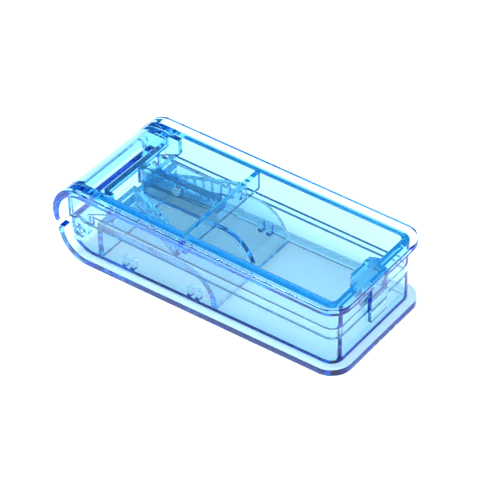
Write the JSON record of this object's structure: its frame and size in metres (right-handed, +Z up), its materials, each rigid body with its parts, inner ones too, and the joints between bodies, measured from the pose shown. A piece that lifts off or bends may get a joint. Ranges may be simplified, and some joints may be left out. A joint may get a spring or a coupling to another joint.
{
  "type": "pill splitter",
  "caption": "Clear pocket pill splitter: a hinged lid holds a steel blade over a V-shaped, ridged pill holder, and the front of the tray stores pills.",
  "frame": {"origin": "centre of the bounding box in X and Y, on the surface it stands on", "axes": "+X along the length from the hinge to the latch, +Z up, +Y across"},
  "size_m": [0.09, 0.04, 0.023],
  "materials": {
    "clear_blue": "clear, polished",
    "steel": "ground"
  },
  "bodies": {
    "tray": {"base_tray": "clear_blue", "pill_holder": "clear_blue"},
    "lid": {"lid_cover": "clear_blue", "blade_bar": "clear_blue", "blade": "steel", "blade_rivet": "steel"}
  },
  "joints": [
    {"name": "lid_hinge", "type": "hinge", "parent": "tray", "child": "lid", "pos_m": [-0.0388, 0, 0.0079], "axis": [0, -1, 0], "range_deg": [0, 90]}
  ]
}
